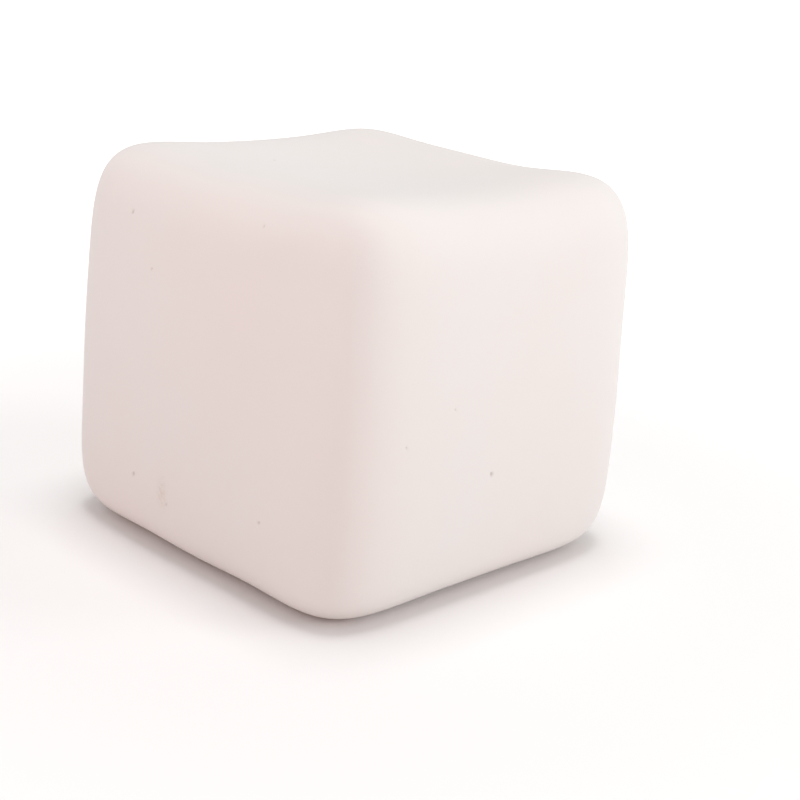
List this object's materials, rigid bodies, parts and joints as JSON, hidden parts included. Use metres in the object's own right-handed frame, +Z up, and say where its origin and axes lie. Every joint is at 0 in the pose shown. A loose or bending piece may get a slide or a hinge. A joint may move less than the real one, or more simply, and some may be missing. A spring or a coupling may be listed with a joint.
{
  "type": "squeeze cube",
  "caption": "Soft foam squeeze cube for the hand: foam filling in a tough skin, faces drawn in between proud corners, flat feet to rest on.",
  "frame": {"origin": "middle of the base, level with the four pressed-flat corners that it rests on", "axes": "+Z up through the middle of the top, +X and +Y square to two neighbouring sides"},
  "size_m": [0.066, 0.066, 0.0587],
  "materials": {
    "skin": "matt, smooth moulded foam skin",
    "foam": "matt, open-cell foam",
    "seal": "satin, brushed-on sealing compound"
  },
  "bodies": {
    "root": {"outer_skin": "skin", "foam_core": "foam", "gate_seal": "seal"}
  },
  "joints": []
}
